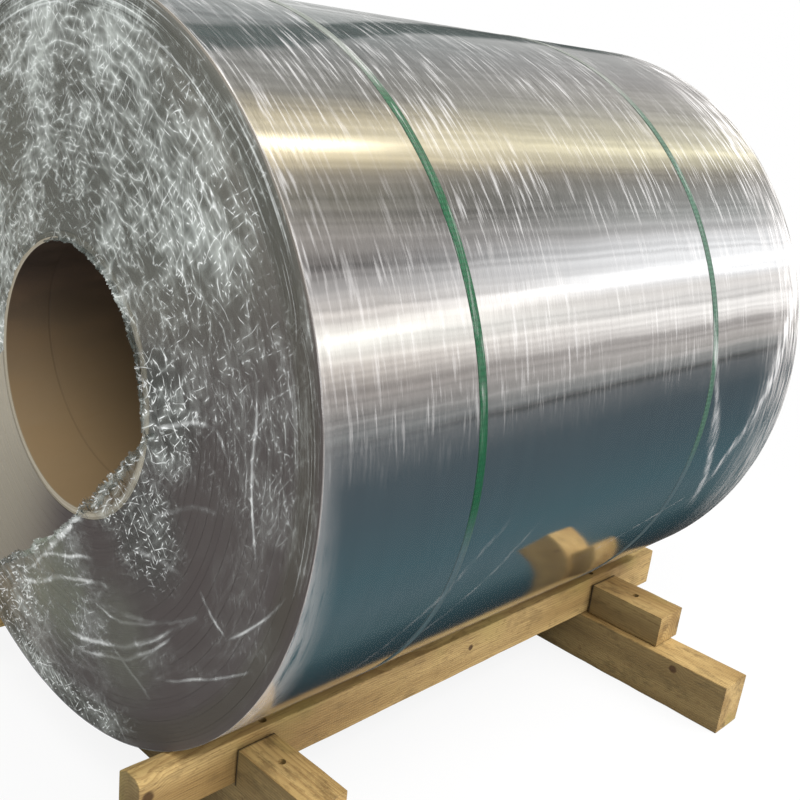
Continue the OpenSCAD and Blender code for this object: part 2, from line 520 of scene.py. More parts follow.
def build_floor():
    """A pale disc under the object."""
    floor = start("floor", bpy.ops.mesh.primitive_circle_add, vertices=96, radius=FLOOR_R,
                  fill_type="NGON")
    bpy.ops.object.mode_set(mode="OBJECT")
    material, place = new_material("pale_floor")
    away = place.vector_math("LENGTH", {}, output="Value")
    matt = place.node("BsdfDiffuse", inputs={"Color": tint(236, 236, 236)})
    white = place.node("Emission", inputs={"Color": (1, 1, 1, 1)})
    share = smooth(away, 0.9, 3.2, 0.88, 1.0) * place.node("LightPath", output="Is Camera Ray")
    shader = place.node("MixShader", inputs={0: share, 1: matt, 2: white})
    place.node("OutputMaterial", inputs={"Surface": shader})
    floor.data.materials.append(material)
    floor.visible_glossy = False
    print("floor:", len(floor.data.polygons), "face")


build_floor()

# %% [markdown]
# ## The wound strip
# Hundreds of laps of thin strip, wound tight, make one heavy ring. The laps never lie perfectly level:
# on each end, groups of them stand a fraction of a millimetre out or in, and light picks them out as
# rings. Turning one outline with small steps makes both ends at once. The depth of a step comes from a
# turn of 137.5 degrees from band to band, which never repeats and so looks like chance, but is the same
# on each run.

# %% Outline of the wound strip, and the strip itself
LAP_BANDS = 56
LAP_STEP = 0.0008
LAP_TURN = 137.5
strip_bore_r = core_outer_r + GAP


def lap_outline(end):
    """The stepped outline of one end, from the bore to the outside: (place along the axis, radius)."""
    outline = []
    for band in range(LAP_BANDS):
        depth = LAP_STEP * (1 + math.sin(math.radians(band * LAP_TURN))) / 2
        for edge in (band, band + 1):
            radius = strip_bore_r + (coil_r - strip_bore_r) * edge / LAP_BANDS
            outline.append((end * (strip_end - depth), radius))
    return outline


wound_strip = turned("wound_strip", lap_outline(-1) + lap_outline(1)[::-1], sharp=30)

# %% [markdown]
# The side of the strip is bright mill finish: nearly a mirror, with faint lines along the rolling
# direction, which runs round the coil. The ends show the cut edges of the laps, far duller and darker,
# in thin rings. One material does both, because they are one piece of metal: a mask finds the ends by
# their place along the axis, and the distance from the axis draws the rings.

# %% Helpers: a place about the coil's axis, and the ripples that follow the pull
def about_axis(place):
    """Place along the axis, distance from it, and the direction round it as two parts from -1 to 1."""
    across, along, upward = parts(place)
    upward = upward - axis_z
    radius = length(along, upward)
    return across, radius, along / radius, upward / radius


def ripples(place, lean=0.035):
    """Short ripples along the pull of the film, from 0 to 1."""
    across, along, upward = parts(place)
    leaned = point(across + (upward - axis_z) * lean, along, upward)
    return blotches(stretched(leaned, (125, 10, 10)), 1.0, 2.0, 0.6)


# %% Material of the strip
def lap_edges(radius, along, upward, wide_rings):
    """Colour of the ends: thin rings, painted shade low in front, painted light at the back, dark near
    the rim.
    """
    rings = blotches(point(radius * 620, along * 0.6, upward * 0.6), 1.0, 2.0, 0.6)
    lap_share = smooth(rings * 0.6 + wide_rings * 0.4, 0.30, 0.70)
    edges = mix(lap_share, tint(160, 152, 142), tint(172, 166, 154))
    # Painted shade: the ends are darker low down and in front.
    painted_shade_low = smooth(upward * -0.8 - along * 0.6, -0.4, 0.6)
    edges = mix(smooth(painted_shade_low, 0.0, 1.0, 0.0, 0.88), edges, tint(78, 71, 73))
    # Painted light: the ends are paler towards the back.
    edges = mix(smooth(along, -0.05, 0.65, 0.0, 0.55), edges, tint(204, 196, 176))
    outer_rings = smooth(radius, coil_r * 0.90, coil_r * 0.94)
    outer_rings = outer_rings * smooth(radius, coil_r * 0.965, coil_r, 1.0, 0.2)
    return mix(outer_rings * 0.6, edges, tint(88, 84, 74))


def mill_finish():
    """Bright rolled aluminium on the side, and the grey cut edges of the laps on the ends."""
    material, place = new_material("mill_finish")
    across, radius, along, upward = about_axis(place)
    end = smooth(abs(across), strip_end - 0.0035, strip_end - 0.0015)
    wide_rings = blotches(point(radius * 90, along * 0.8, upward * 0.8), 1.0, 1.0)
    side = mix(blotches(stretched(place, (60, 2, 2)), 1.0, 2.0), tint(230, 231, 233), tint(240, 241, 242))
    buckles = blotches(stretched(place, (3.0, 9, 9)), 1.0, 1.0)
    patch = smooth(blotches(place, 6.5, 1.0), 0.42, 0.58) * smooth(upward, 0.0, 0.2)
    ripple = ripples(place, lean=-0.05)
    height = wide_rings * end * 0.05 + (buckles * 0.2 + ripple * patch * 0.035) * (1 - end)
    sockets = {"Base Color": mix(end, side, lap_edges(radius, along, upward, wide_rings)),
               "Metallic": smooth(end, 0, 1, 1.0, 0.3),
               "Roughness": smooth(upward, -0.6, -0.2, 0.15, 0.06) * (1 - end) + end * 0.5}
    return finish_material(material, sockets, height, depth=0.004)


place_piece(wound_strip, mill_finish(), "strip", "strip_coil")

# %% [markdown]
# ## The paper tube
# The strip is wound on a tube of many plies of brown paper, each wound in a spiral. Its bore shows the
# spiral seams of the inner ply, and its cut ends show the plies as rings. It is a plain tube with
# softened lips, turned like the strip.

# %% The paper tube
LIP = 0.0015
tube_end = core_high.x
tube_outline = [
    (-tube_end, core_r + LIP), (-tube_end, core_outer_r - LIP), (-tube_end + LIP, core_outer_r),
    (tube_end - LIP, core_outer_r), (tube_end, core_outer_r - LIP), (tube_end, core_r + LIP),
    (tube_end - LIP, core_r), (-tube_end + LIP, core_r),
]
paper_tube = turned("paper_tube", tube_outline, steps=192)


# %% Material of the paper tube
PLY_LEAD = 0.19


def brown_paper():
    """Spiral plies of brown paper: seams in the bore, rings on the ends, fibres and scuffs all over, and
    painted light and shade in the bore.
    """
    material, place = new_material("brown_paper")
    across, radius, along, upward = about_axis(place)
    turn_share = upward.math("ARCTAN2", along) / math.tau
    seam_place = (across / PLY_LEAD + turn_share).math("FRACT")
    seam = smooth(abs(seam_place - 0.5), 0.0, 0.02, 1.0, 0.0)
    overlap = smooth(seam_place, 0.2, 0.5) * 0.3
    fibre = blotches(place, 420, 3.0, 0.65)
    scuff = blotches(stretched(place, (7, 16, 16)), 1.0, 3.0)
    plies = blotches(point(radius * 900, along * 0.5, upward * 0.5), 1.0, 1.0)
    cut_end = smooth(abs(across), tube_end - 0.0014, tube_end - 0.0004)
    # The paper of the bore is brown, darkened here by painted shade.
    paper = mix(smooth(scuff * 0.7 + fibre * 0.3, 0.35, 0.68), tint(44, 31, 23), tint(70, 52, 38))
    paper = mix(overlap, paper, tint(56, 41, 27))
    # Painted light: a lighter tan low down and towards the back of the bore.
    painted_light = smooth(along * 0.3 - upward * 0.85, -0.45, 1.10, 0.0, 0.85)
    paper = mix(painted_light, paper, tint(138, 116, 84))
    paper = mix(seam * 0.2, paper, tint(44, 31, 21))
    rim = mix(smooth(plies, 0.35, 0.65), tint(128, 118, 100), tint(178, 170, 152))
    height = fibre * 0.15 - seam * 0.3 + plies * cut_end * 0.4
    sockets = {"Base Color": mix(cut_end, paper, rim), "Roughness": smooth(scuff, 0.3, 0.7, 0.55, 0.8)}
    return finish_material(material, sockets, height, depth=0.0012)


place_piece(paper_tube, brown_paper(), "paperboard", "core_tube")

# %% [markdown]
# ## The straps
# Two flat straps of green polyester keep the last lap from springing open. They run round under the
# film. A hand never lays a strap quite square, so each leans a little along the coil. A turned band
# that was tilted whole would cut into the round coil, so each point is slid along the axis instead, in
# proportion to its height: the band leans and still lies on the metal.

# %% The straps
strap_low, strap_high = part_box("strap_left")
STRAP_W = strap_high.x - strap_low.x
STRAP_T = 0.0009
strap_leans = {"strap_left": -0.060, "strap_right": -0.012}
strap_middles = {node: (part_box(node)[0].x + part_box(node)[1].x) / 2 for node in strap_leans}


def lay_strap(node):
    """A flat band with soft edges round the coil, leaning along the axis."""
    middle = strap_middles[node]
    inner, outer = coil_r + GAP / 2, coil_r + GAP / 2 + STRAP_T
    half, soft = STRAP_W / 2, STRAP_T / 3
    outline = [(middle - half, inner), (middle - half, outer - soft), (middle - half + soft, outer),
               (middle + half - soft, outer), (middle + half, outer - soft), (middle + half, inner)]
    strap = turned(node + "_band", outline)
    for vertex in strap.data.vertices:
        vertex.co.x += strap_leans[node] * (vertex.co.z - axis_z)
    return strap


# %% [markdown]
# Polyester strap is embossed with small lozenges, which gives it a dull sparkle. The pattern is two
# waves that cross, one for each slant. Round the coil it counts turns, in a whole number of waves, so
# that it meets itself. On top the strap is painted pale grey, a painted highlight where the glare of the
# film washes it out, and under the coil it is painted the slate that the metal reflects there, a painted
# reflection.

# %% Material of the straps
LOZENGE_W = 0.0032


def green_strap(name, deep, light):
    """Embossed polyester from a deep green to the lighter green of its raised lozenges."""
    material, place = new_material(name)
    across, _, along, upward = about_axis(place)
    turns = upward.math("ARCTAN2", along)
    per_metre = 1 / LOZENGE_W
    waves = round(coil_r * per_metre)
    first = (across * per_metre * 2 + turns * waves).math("SINE")
    second = (across * per_metre * 2 - turns * waves).math("SINE")
    boss = smooth(first * second, 0.0, 0.5)
    wear = blotches(place, 24, 3.0)
    green = mix(boss * 0.4 + wear * 0.4, deep, light)
    # Painted highlight: pale grey on top, where the glare of the film washes the strap out.
    green = mix(smooth(upward, 0.78, 0.88, 0.0, 0.9), green, tint(132, 136, 130))
    # Painted reflection: low down the strap takes the slate that the metal reflects there.
    green = mix(smooth(upward, -0.26, -0.08, 0.96, 0.0), green, tint(72, 92, 99))
    sockets = {"Base Color": green, "Roughness": smooth(wear, 0.3, 0.7, 0.35, 0.5)}
    return finish_material(material, sockets, boss, depth=0.0003)


strap_finishes = {
    "strap_left": green_strap("green_strap", tint(0, 62, 36), tint(6, 102, 62)),
    # Painted light: the far strap is the same strap as the near one, painted a paler green.
    "strap_right": green_strap("green_strap_far_painted_pale", tint(44, 76, 62), tint(88, 126, 106)),
}
for node, strap_finish in strap_finishes.items():
    place_piece(lay_strap(node), strap_finish, "strap", node)

# %% [markdown]
# ## The stretch film on the side
# Clear film, thinner than paper, goes round the coil in many layers under tension. It climbs over both
# straps and clings to the metal between them. It can't be seen as a body, only by what it does to
# light: a faint haze, short ripples along the pull, and a few long folds. The white of the ripples and
# folds is partly the film's own milkiness and partly painted highlight. So the shape is a plain thin
# skin with the climb over each strap, and the rest is in its material, which is clear where the film
# lies flat.

# %% The film on the side
FILM_T = 0.0005
FILM_CLIMB = 0.006
LEAN_REACH = 0.2
film_inner = coil_r + GAP
side_reach = strip_end + 0.0008


def film_line(radius):
    """The line of the film along the coil at this radius, with its climb over each strap."""
    half = STRAP_W / 2 + GAP
    line = [(-side_reach, radius)]
    for middle in strap_middles.values():
        line += [(middle - half - FILM_CLIMB, radius), (middle - half, radius + STRAP_T),
                 (middle + half, radius + STRAP_T), (middle + half + FILM_CLIMB, radius)]
    return line + [(side_reach, radius)]


def lean_with_straps(film):
    """Slides the film's climbs along the coil as the straps lean, and leaves the rest where it is."""
    for vertex in film.data.vertices:
        for node, lean in strap_leans.items():
            away = abs(vertex.co.x - strap_middles[node])
            share = max(0.0, 1 - away / LEAN_REACH)
            vertex.co.x += lean * (vertex.co.z - axis_z) * share


film_outline = film_line(film_inner + FILM_T) + film_line(film_inner)[::-1]
film_side = turned("film_side", film_outline, steps=288, sharp=40)
lean_with_straps(film_side)

# %% [markdown]
# The ripples run round the coil, so they are noise that is squeezed along the axis and drawn out across
# it. Where they are strongest changes from patch to patch, and they fade out on the lower half. Their
# white is partly milkiness and partly painted highlight, and the dark in the hollows beside them is
# painted shade. The film is milky near the two ends, where the layers are cut and doubled, painted
# slate in a narrow band low down, a painted reflection of the dark ground, and it carries a few long
# folds that slant down the far end, whose white is partly painted highlight too. A skin has two sides,
# and light would meet both of them, so it is made clear on the side that faces away and counts only
# once.

# %% Words for the film
side_folds = [
    ((0.33, 0.20), (0.42, -0.10), 0.016, 0.30), ((0.40, 0.00), (0.52, -0.30), 0.024, 0.42),
    ((0.75, 0.24), (0.60, -0.10), 0.028, 0.44), ((0.68, 0.06), (0.50, -0.26), 0.026, 0.42),
    ((0.46, -0.26), (0.10, -0.34), 0.014, 0.35), ((-0.30, -0.14), (-0.56, -0.46), 0.012, 0.14),
    ((-0.18, -0.16), (-0.42, -0.42), 0.009, 0.16),
]


def outer_side(place):
    """1 on the side of the skin that faces the ray and 0 on the other."""
    return 1 - place.node("NewGeometry", output="Backfacing")


def fold(place, wander, first, last, width):
    """A long fold from first to last, each a place along the axis and a height above it."""
    across, along, upward = parts(place)
    (x0, z0), (x1, z1) = first, last
    share = (upward - (axis_z + z0)) / (z1 - z0)
    away = abs(across + wander - (share * (x1 - x0) + x0))
    line = smooth(away, width * 0.2, width, 1.0, 0.0)
    ends = smooth(share, -0.1, 0.15) * smooth(share, 0.8, 1.15, 1.0, 0.0)
    return line * ends * smooth(along, -0.25, -0.1, 1.0, 0.0)


def side_haze(across, upward, ripple):
    """Haze by place: faint on top, a ragged skirt at the near end, and broken at the far end."""
    haze = smooth(upward, 0.5, 1.0, 0.012, 0.08)
    haze = haze + smooth(abs(across), strip_end - 0.02, strip_end, 0.0, 0.06)
    skirt = smooth(across + ripple * 0.06 + upward * 0.08, 0.085 - strip_end, -strip_end)
    skirt = skirt * smooth(ripple, 0.2, 0.6)
    haze = haze + skirt * smooth(upward, -0.7, 0.2, 0.6, 0.26)
    far_end = smooth(across + ripple * 0.10, strip_end - 0.16, strip_end + 0.06)
    far_end = far_end * smooth(upward, -0.75, -0.4)
    return haze + far_end * smooth(ripple, 0.35, 0.65, 0.15, 0.75)


# %% Material of the film on the side
def film_on_side():
    """Clear film with ripples and long folds of milkiness and painted highlight, painted shade in the
    hollows, and painted slate low down.
    """
    material, place = new_material("film_on_side")
    across, _, _, upward = about_axis(place)
    ripple = ripples(place)
    patch = smooth(blotches(stretched(place, (3.4, 5, 5)), 1.0, 1.0), 0.36, 0.60, 0.3, 1.0)
    high = smooth(upward, 0.0, 0.20, 0.02, 0.75) + smooth(upward, 0.35, 0.7, 0.0, 0.3)
    # The white of the ripples is partly the film's milkiness and partly painted highlight.
    milky_glint = smooth(ripple, 0.48, 0.72) * patch * high
    # Painted shade in the hollows beside the ripples.
    painted_hollow_shade = smooth(ripple, 0.30, 0.50, 1.0, 0.0) * patch * high
    wander = blotches(place, 14, 1.0) * 0.03 - 0.015
    long_folds = strongest([fold(place, wander, first, last, width) * strength
                            for first, last, width, strength in side_folds])
    broken = smooth(blotches(stretched(place, (60, 14, 14)), 1.0, 2.0, 0.6), 0.34, 0.68, 0.12, 1.0)
    # The white of the long folds is partly painted highlight too.
    lines = (milky_glint * 0.36 + long_folds * broken).math("MINIMUM", 0.8)
    # Painted reflection: a slate band low down, the colour that the metal reflects from the dark ground.
    painted_slate_reflection = smooth(upward, -0.76, -0.62, 0.34, 0.0)
    colour = mix(painted_hollow_shade * 0.9, tint(200, 196, 194), tint(60, 56, 54))
    colour = mix(painted_slate_reflection * 2.5, colour, tint(96, 106, 110))
    colour = mix(lines / 0.3, colour, tint(242, 240, 240))
    alpha = (side_haze(across, upward, ripple) + lines + painted_hollow_shade * 0.2 + painted_slate_reflection) * outer_side(place)
    return finish_material(material, {"Base Color": colour, "Alpha": alpha, "Roughness": 0.22})


def place_film(film, finish):
    """Places a piece of film, which is too clear to cast a shadow or to show in the metal."""
    film.visible_shadow = film.visible_diffuse = film.visible_glossy = False
    place_piece(film, finish, "film", "stretch_film")


place_film(film_side, film_on_side())

# %% [markdown]
# ## The stretch film on the ends
# The film is wider than the coil. What stands over each end collapses onto it and is pressed in towards
# the bore, where it gathers in countless creases. On the left end it was torn: one free edge runs
# straight past the bore, hangs a little over it, and leaves the strip bare beyond. A cloth simulation
# could crumple a sheet like this, but its creases would be far coarser than real ones. So the sheet is
# turned like the rest, cut along its free edge with Bisect, pushed out point by point along creases
# drawn by noise, and thickened last.

# %% Where the film is torn on the left end
EDGE_SLANT = math.radians(49.5)
TORN_AWAY = 0.200
BARE_BACK = 0.157
BARE_REACH = 0.535
BORE_HEM_R = core_outer_r - 0.010
TUCK_MIDDLE = math.radians(62)
TUCK_SHARPNESS = 2.0
torn_normal = Vector((0, -math.cos(EDGE_SLANT), -math.sin(EDGE_SLANT)))
torn_along = Vector((0, math.sin(EDGE_SLANT), -math.cos(EDGE_SLANT)))


def past_torn_edge(co):
    """How far a point lies past the line through the axis beside the torn edge."""
    return (co - axis).dot(torn_normal)


def along_torn_edge(co):
    """How far down the torn edge a point lies, counted from the axis."""
    return (co - axis).dot(torn_along)


def hem_radius(co):
    """Radius of the film's hem round the bore, which reaches further in at the upper right."""
    away = math.atan2(co.z - axis_z, -co.y) - TUCK_MIDDLE
    tuck = max(0.0, math.cos(away * TUCK_SHARPNESS)) if abs(away) < 1 else 0.0
    return BORE_HEM_R - tuck * (0.022 + 0.012 * noise.noise(co * 30))


def is_bare(co):
    """Whether a point of the left end has no film: over the bore, or in the bare strip beside it."""
    past = past_torn_edge(co)
    over_bore = off_axis(co) < hem_radius(co) and past < TORN_AWAY
    beside = -BARE_BACK < past < TORN_AWAY and 0 < along_torn_edge(co) < BARE_REACH
    return over_bore or beside


def is_bore(co):
    """Whether a point of the whole right end lies over the bore."""
    return off_axis(co) < BORE_HEM_R


# %% Creases that push the film out
def step_up(value, low, high):
    """A smooth step from 0 to 1 for a plain number."""
    share = min(max((value - low) / (high - low), 0.0), 1.0)
    return share * share * (3 - 2 * share)


def crease_height(x, y, z, seed):
    """Height of a crease from 0 to 1: noise folded along its middle value."""
    return (1 - abs(noise.noise(Vector((x, y, z + seed))))) ** 5


def film_relief(co, seed, torn):
    """How far the film stands off the end of the coil at this point."""
    y, z, radius = co.y, co.z - axis_z, off_axis(co)
    rim = step_up(radius, coil_r - 0.012, coil_r - 0.004)
    outer = step_up(radius, 0.50, 0.62)
    pulled = crease_height(radius * 42, y / radius * 2.4, z / radius * 2.4, seed)
    coarse, fine = crease_height(y * 15, z * 15, 0, seed + 5), crease_height(y * 34, z * 34, 0, seed + 9)
    height = 0.0022 * outer * pulled + 0.0042 * (1 - outer) * (coarse * 0.6 + fine * 0.4)
    if torn:
        past = past_torn_edge(co) - TORN_AWAY
        gathered = math.exp(-(past / 0.045) ** 2)
        height += 0.013 * gathered * crease_height(along_torn_edge(co) * 26, past * 9, 0, seed + 3)
    return height * (1 - rim)


def torn_bow(along):
    """How far the torn edge bows out from its straight line, at a place along it."""
    share = min(max((along + 0.2) / 0.73, 0.0), 1.0)
    ragged = 0.012 * noise.noise(Vector((along * 14, 0, 3)))
    ragged += 0.006 * noise.noise(Vector((along * 45, 0, 7)))
    return 0.028 * math.sin(math.pi * share) + ragged


def torn_shift(co):
    """How far a point beside the torn edge is moved in the plane of the film: the edge bows, raggedly."""
    near = math.exp(-((past_torn_edge(co) - TORN_AWAY) / 0.035) ** 2)
    inside = 1 - step_up(off_axis(co), coil_r - 0.05, coil_r - 0.015)
    return torn_normal * near * inside * torn_bow(along_torn_edge(co))


def tucked(co):
    """How deep the film hangs into the bore at this point."""
    return max(0.0, core_r - 0.002 - off_axis(co)) * 2


# %% The film on both ends
END_RINGS = 78
END_STEPS = 384
END_FILM_T = 0.0003


def film_rings(end):
    """The outline of the film over one end: a skirt on the side, the rim, then rings to the bore."""
    skirt_r = film_inner + FILM_T + 0.0006
    outline = [(end * (strip_end - 0.02), skirt_r), (end * (strip_end - 0.004), skirt_r),
               (end * (strip_end + 0.0006), skirt_r - 0.0008),
               (end * (strip_end + 0.0010), skirt_r - 0.003)]
    face_r, inner_r = coil_r - 0.004, BORE_HEM_R - 0.06
    for ring in range(END_RINGS + 1):
        outline.append((end * (strip_end + 0.0011), face_r - (face_r - inner_r) * ring / END_RINGS))
    return outline


def crumple(film, end, seed, torn):
    """Pushes each point of the film off the end of the coil, or into the bore where it hangs over it."""
    for vertex in film.data.vertices:
        if end * vertex.co.x > strip_end:
            relief = film_relief(vertex.co, seed, torn)
            if torn and past_torn_edge(vertex.co) < TORN_AWAY - 0.001:
                relief -= tucked(vertex.co)
            elif torn:
                vertex.co += torn_shift(vertex.co)
            vertex.co.x += end * relief


def film_over_end(name, end, seed, torn):
    """The crumpled film over one end, torn open on the left one."""
    film = spun(name, film_rings(end), END_STEPS)
    bpy.ops.mesh.select_all(action="SELECT")
    bpy.ops.mesh.remove_doubles(threshold=MERGE_GAP)
    if torn:
        bisect(axis + torn_normal * TORN_AWAY, torn_normal)
        bisect(axis - torn_normal * BARE_BACK, torn_normal)
        bisect(axis + torn_along * BARE_REACH, torn_along)
    select_faces(film, is_bare if torn else is_bore)
    bpy.ops.mesh.delete(type="FACE")
    bpy.ops.mesh.select_all(action="SELECT")
    bpy.ops.mesh.normals_make_consistent(inside=False)
    bpy.ops.object.mode_set(mode="OBJECT")
    crumple(film, end, seed, torn)
    apply_modifier(film, "SOLIDIFY", thickness=END_FILM_T, offset=-1)
    bpy.ops.object.shade_smooth_by_angle(angle=math.radians(60))
    return film


film_left = film_over_end("film_left_end", end=-1, seed=1.5, torn=True)
film_right = film_over_end("film_right_end", end=1, seed=40.5, torn=False)

# %% [markdown]
# Along the torn edge, and round the upper part of the bore, the film is gathered into a crumpled roll
# as thick as a finger. Each roll is a fine grid that is rolled up: its long side follows a route, its
# short side goes once round it, and noise crumples it. The two ends close to a point, and the seam is
# merged.

# %% The gathered rolls of film
left_middle = Vector((-strip_end, 0, axis_z))


def gather_hem(name, route, thickness, seed):
    """Rolls a grid up round a route on the left end: both take a share from 0 to 1 along the roll."""
    roll = start(name, bpy.ops.mesh.primitive_grid_add, x_subdivisions=460, y_subdivisions=18, size=1)
    bpy.ops.object.mode_set(mode="OBJECT")
    for vertex in roll.data.vertices:
        share, turn = vertex.co.x + 0.5, (vertex.co.y + 0.5) * math.tau
        middle, sideways = route(share)
        closing = math.sin(math.pi * share) ** 0.35
        wrinkle = crease_height(share * 60, math.cos(turn) * 1.6, math.sin(turn) * 1.6, seed)
        thick = thickness(share) * closing * (0.45 + 1.1 * wrinkle)
        lift = 0.0022 + 0.75 * thick * (1 + math.sin(turn))
        vertex.co = middle + sideways * thick * 1.9 * math.cos(turn) + Vector((-lift, 0, 0))
    bpy.ops.object.mode_set(mode="EDIT")
    return close_up(roll, sharp=70)


def torn_route(share):
    """A place along the torn edge, and the direction across it."""
    along = -0.215 + 0.775 * share
    away = TORN_AWAY + torn_bow(along) + 0.004
    return left_middle + torn_along * along + torn_normal * away, torn_normal


def torn_thickness(share):
    """Thick beside the bore and at the rim, thin between them."""
    return 0.0065 - 0.0045 * step_up(share, 0.36, 0.5) + 0.004 * step_up(share, 0.72, 0.9)


def bore_route(share):
    """A place round the upper part of the bore, and the direction away from the axis."""
    turn = math.radians(-6 + 118 * share)
    outward = Vector((0, -math.cos(turn), math.sin(turn)))
    radius = core_r + 0.002 + 0.007 * noise.noise(Vector((share * 17, 0, 5)))
    return left_middle + outward * radius, outward


def bore_thickness(share):
    """Thinner towards the far end of the roll."""
    return 0.0042 - 0.002 * share


hem_torn = gather_hem("film_torn_roll", torn_route, torn_thickness, seed=2.5)
hem_bore = gather_hem("film_bore_roll", bore_route, bore_thickness, seed=8.5)

# %% [markdown]
# What the mesh can't carry is drawn by the material. Crumpled film shows short straight glints that lie
# along its pull, crossed by others, in bundles that are lighter or darker. Long bowed creases run out
# from the places where the film is gathered. All of them only change how clear the film is and how
# light: the glints and the white of the creases are painted highlights, and the darker bundles painted
# shade. Places on an end are counted from the axis: to the side, which is towards the back of the coil,
# and up.

# %% Words for the marks on the ends
def strokes(flat, turn, width, stroke_length):
    """Straight ridges of this width and length that lie along one direction, from 0 to about 3."""
    drawn = flat.node("Mapping", {"vector_type": "TEXTURE"},
                      {"Vector": flat, "Rotation": (0, 0, math.radians(turn)),
                       "Scale": (width, stroke_length, 1)})
    return ridges(drawn, dimensions="2D")


def bowed_crease(flat, first, last, bow, width):
    """A bowed crease from first to last, each a place on the end: 1 along it and 0 away from it."""
    run = Vector(last) - Vector(first)
    drawn = flat.node("Mapping", {"vector_type": "TEXTURE"},
                      {"Vector": flat, "Location": (*first, 0),
                       "Rotation": (0, 0, math.atan2(run.y, run.x)), "Scale": (run.length, width, 1)})
    share, lift = parts(drawn)[:2]
    away = abs(lift + (share * share - share) * (4 * bow / width))
    return smooth(away, 0.0, 1.6, 1.0, 0.0) * smooth(abs(share - 0.5), 0.30, 0.55, 1.0, 0.0)


def spot(side, up, middle, size):
    """A soft spot on the end, 1 at its middle."""
    return smooth(length(side - middle[0], up - middle[1]), size * 0.3, size, 1.0, 0.0)


# %% Places of the long creases (first, last, bow, width) and of the gathered spots (middle, size)
long_creases = [
    ((-0.20, -0.40), (-0.44, -0.28), 0.020, 0.0050), ((0.00, -0.53), (-0.43, -0.29), 0.045, 0.0055),
    ((-0.04, -0.55), (-0.40, -0.33), 0.040, 0.0040), ((0.20, -0.52), (-0.18, -0.36), -0.020, 0.0050),
    ((0.18, -0.49), (-0.12, -0.33), -0.030, 0.0040), ((-0.30, -0.17), (-0.48, -0.09), -0.016, 0.0050),
    ((-0.29, 0.00), (-0.46, 0.045), -0.012, 0.0045), ((-0.55, 0.14), (-0.575, -0.14), 0.006, 0.0032),
    ((-0.44, -0.23), (-0.51, -0.29), 0.004, 0.0040), ((-0.52, -0.29), (-0.66, -0.15), 0.010, 0.0030),
    ((-0.18, -0.48), (-0.32, -0.53), -0.004, 0.0045), ((-0.34, -0.47), (-0.60, -0.31), 0.012, 0.0032),
    ((0.07, -0.40), (-0.10, -0.24), -0.012, 0.0060), ((-0.24, -0.26), (-0.40, -0.23), -0.010, 0.0060),
    ((-0.10, -0.42), (-0.36, -0.33), 0.030, 0.0035), ((-0.46, 0.045), (-0.50, 0.00), -0.004, 0.0040),
]
gathered_spots = [
    ((-0.27, -0.20), 0.16), ((-0.15, -0.18), 0.10), ((0.24, -0.54), 0.20), ((-0.30, 0.02), 0.15),
]


# %% Where the film on the ends is gathered, milky or green
def gathered_film(side, up, radius, past, on_left):
    """1 where the film is gathered: past the torn edge, in a few spots, and low at the rim."""
    reach = side * math.sin(EDGE_SLANT) - up * math.cos(EDGE_SLANT)
    torn = smooth(past, 0.0, 0.06, 1.0, 0.0) * smooth(past, -0.03, -0.01) * smooth(reach, -0.26, -0.20)
    low_rim = smooth(radius, 0.60, 0.68) * smooth(side, -0.34, -0.10) * smooth(up, -0.2, -0.4)
    spots = [spot(side, up, middle, size) for middle, size in gathered_spots]
    return strongest([torn * on_left, *spots, low_rim])


def milky_film(side, up, front):
    """Milky over the upper part of the end, and faintly so in front."""
    top = smooth(up * 0.9 + side * 0.40, -0.17, 0.18)
    return strongest([top, front * 0.16]) * smooth(side * 0.8 - up * 0.6, -0.66, -0.50, 0.72, 1.0)


def green_film(side, up, past, on_left):
    """The greenish sheen of layered film past the torn edge."""
    sheen = strongest([spot(side, up, (0.02, -0.45), 0.20), spot(side, up, (-0.20, -0.46), 0.18) * 0.7])
    return sheen * smooth(past, -0.01, 0.02) * on_left


